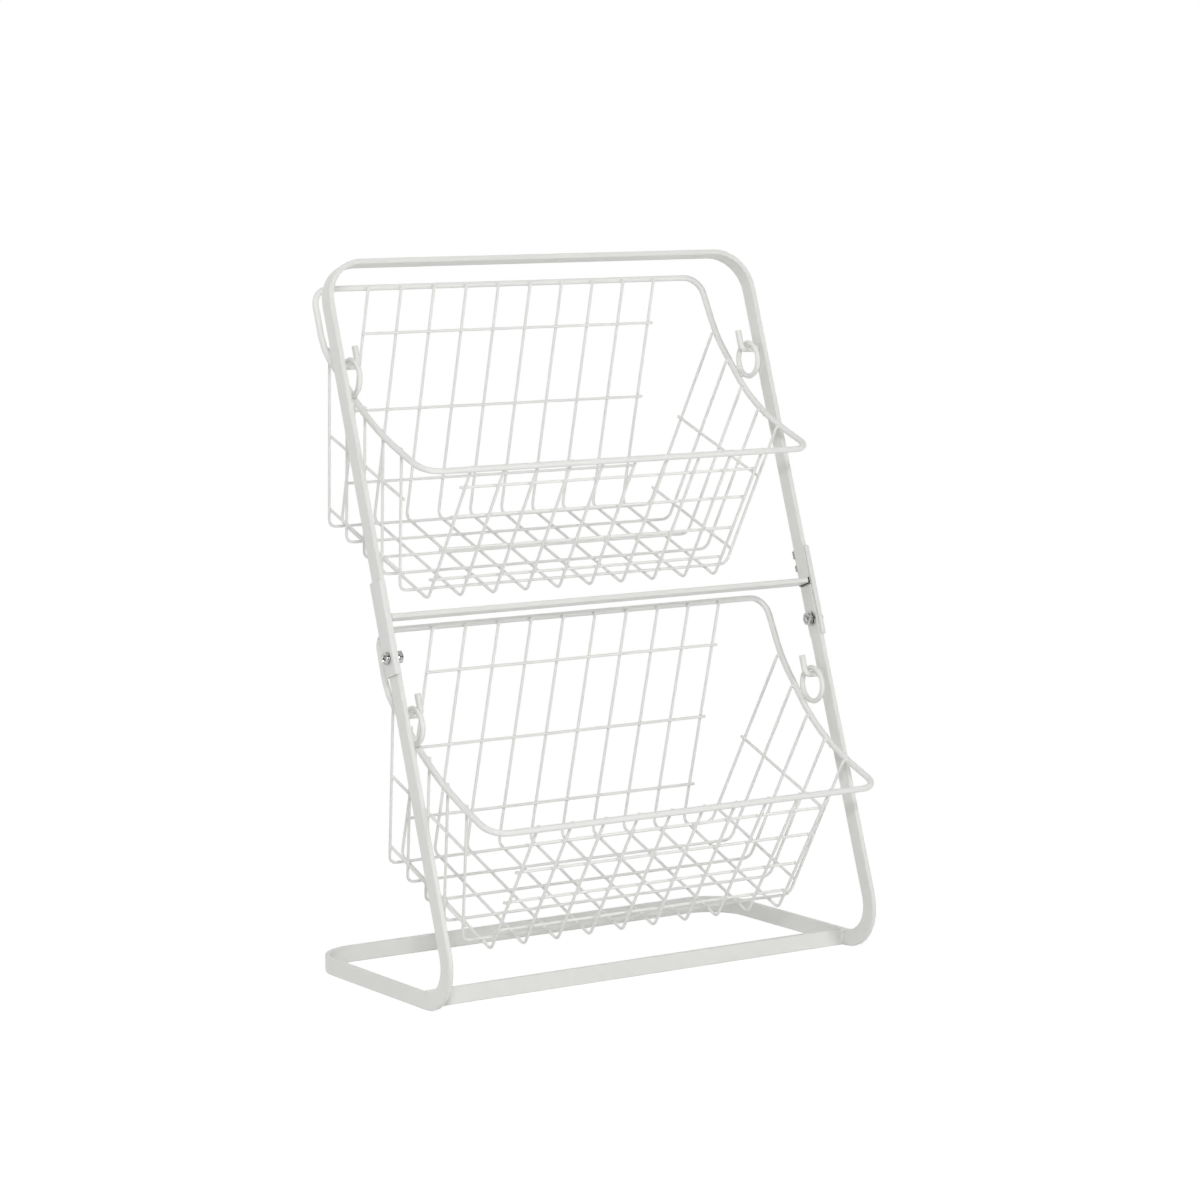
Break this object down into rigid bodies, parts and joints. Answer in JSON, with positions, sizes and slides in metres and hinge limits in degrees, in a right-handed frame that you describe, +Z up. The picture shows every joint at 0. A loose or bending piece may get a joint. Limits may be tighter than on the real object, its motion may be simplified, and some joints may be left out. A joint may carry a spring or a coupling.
{
  "type": "vegetable basket",
  "caption": "Leaning flat-strip stand with two tiers of wire baskets for vegetables, each hung by rings on hooks so that it swings.",
  "frame": {"origin": "on the floor, middle of the underside of the base front rail", "axes": "+X to the right seen from the front, +Y to the back, +Z up"},
  "size_m": [0.308, 0.2232, 0.42],
  "materials": {
    "white_frame_coat": "satin white powder coat",
    "white_sleeve_coat": "satin white powder coat",
    "white_hook_coat": "satin white powder coat",
    "white_rim_coat": "satin white powder coat",
    "white_wire_coat": "satin white powder coat",
    "zinc_plated_steel": "zinc plated"
  },
  "bodies": {
    "stand": {"upper_frame": "white_frame_coat", "lower_frame": "white_frame_coat", "base_front_rail": "white_frame_coat", "middle_crossbar": "white_frame_coat", "sleeve_left": "white_sleeve_coat", "sleeve_right": "white_sleeve_coat", "screw_left": "zinc_plated_steel", "screw_right": "zinc_plated_steel", "washer_left": "zinc_plated_steel", "washer_right": "zinc_plated_steel", "nut_left": "zinc_plated_steel", "nut_right": "zinc_plated_steel", "hook_upper_left": "white_hook_coat", "hook_upper_right": "white_hook_coat", "hook_lower_left": "white_hook_coat", "hook_lower_right": "white_hook_coat"},
    "upper_basket": {"upper_basket_rim": "white_rim_coat", "upper_basket_ring_left": "white_rim_coat", "upper_basket_ring_right": "white_rim_coat", "upper_basket_long_wire_1": "white_wire_coat", "upper_basket_long_wire_2": "white_wire_coat", "upper_basket_long_wire_3": "white_wire_coat", "upper_basket_long_wire_4": "white_wire_coat", "upper_basket_long_wire_5": "white_wire_coat", "upper_basket_long_wire_6": "white_wire_coat", "upper_basket_long_wire_7": "white_wire_coat", "upper_basket_long_wire_8": "white_wire_coat", "upper_basket_long_wire_9": "white_wire_coat", "upper_basket_long_wire_10": "white_wire_coat", "upper_basket_cross_grid": "white_wire_coat", "upper_basket_back_rail_1": "white_wire_coat", "upper_basket_back_rail_2": "white_wire_coat", "upper_basket_back_rail_3": "white_wire_coat", "upper_basket_front_rail_1": "white_wire_coat", "upper_basket_front_rail_2": "white_wire_coat", "upper_basket_front_rail_3": "white_wire_coat", "upper_basket_front_rail_4": "white_wire_coat"},
    "lower_basket": {"lower_basket_rim": "white_rim_coat", "lower_basket_ring_left": "white_rim_coat", "lower_basket_ring_right": "white_rim_coat", "lower_basket_long_wire_1": "white_wire_coat", "lower_basket_long_wire_2": "white_wire_coat", "lower_basket_long_wire_3": "white_wire_coat", "lower_basket_long_wire_4": "white_wire_coat", "lower_basket_long_wire_5": "white_wire_coat", "lower_basket_long_wire_6": "white_wire_coat", "lower_basket_long_wire_7": "white_wire_coat", "lower_basket_long_wire_8": "white_wire_coat", "lower_basket_long_wire_9": "white_wire_coat", "lower_basket_long_wire_10": "white_wire_coat", "lower_basket_cross_grid": "white_wire_coat", "lower_basket_back_rail_1": "white_wire_coat", "lower_basket_back_rail_2": "white_wire_coat", "lower_basket_back_rail_3": "white_wire_coat", "lower_basket_front_rail_1": "white_wire_coat", "lower_basket_front_rail_2": "white_wire_coat", "lower_basket_front_rail_3": "white_wire_coat", "lower_basket_front_rail_4": "white_wire_coat"}
  },
  "joints": [
    {"name": "upper_basket_swing", "type": "hinge", "parent": "stand", "child": "upper_basket", "pos_m": [0, 0.08617, 0.3588], "axis": [1, 0, 0], "range_deg": [-140, 23.5]},
    {"name": "lower_basket_swing", "type": "hinge", "parent": "stand", "child": "lower_basket", "pos_m": [0, 0.02038, 0.16444], "axis": [1, 0, 0], "range_deg": [-135, 24.5]}
  ]
}
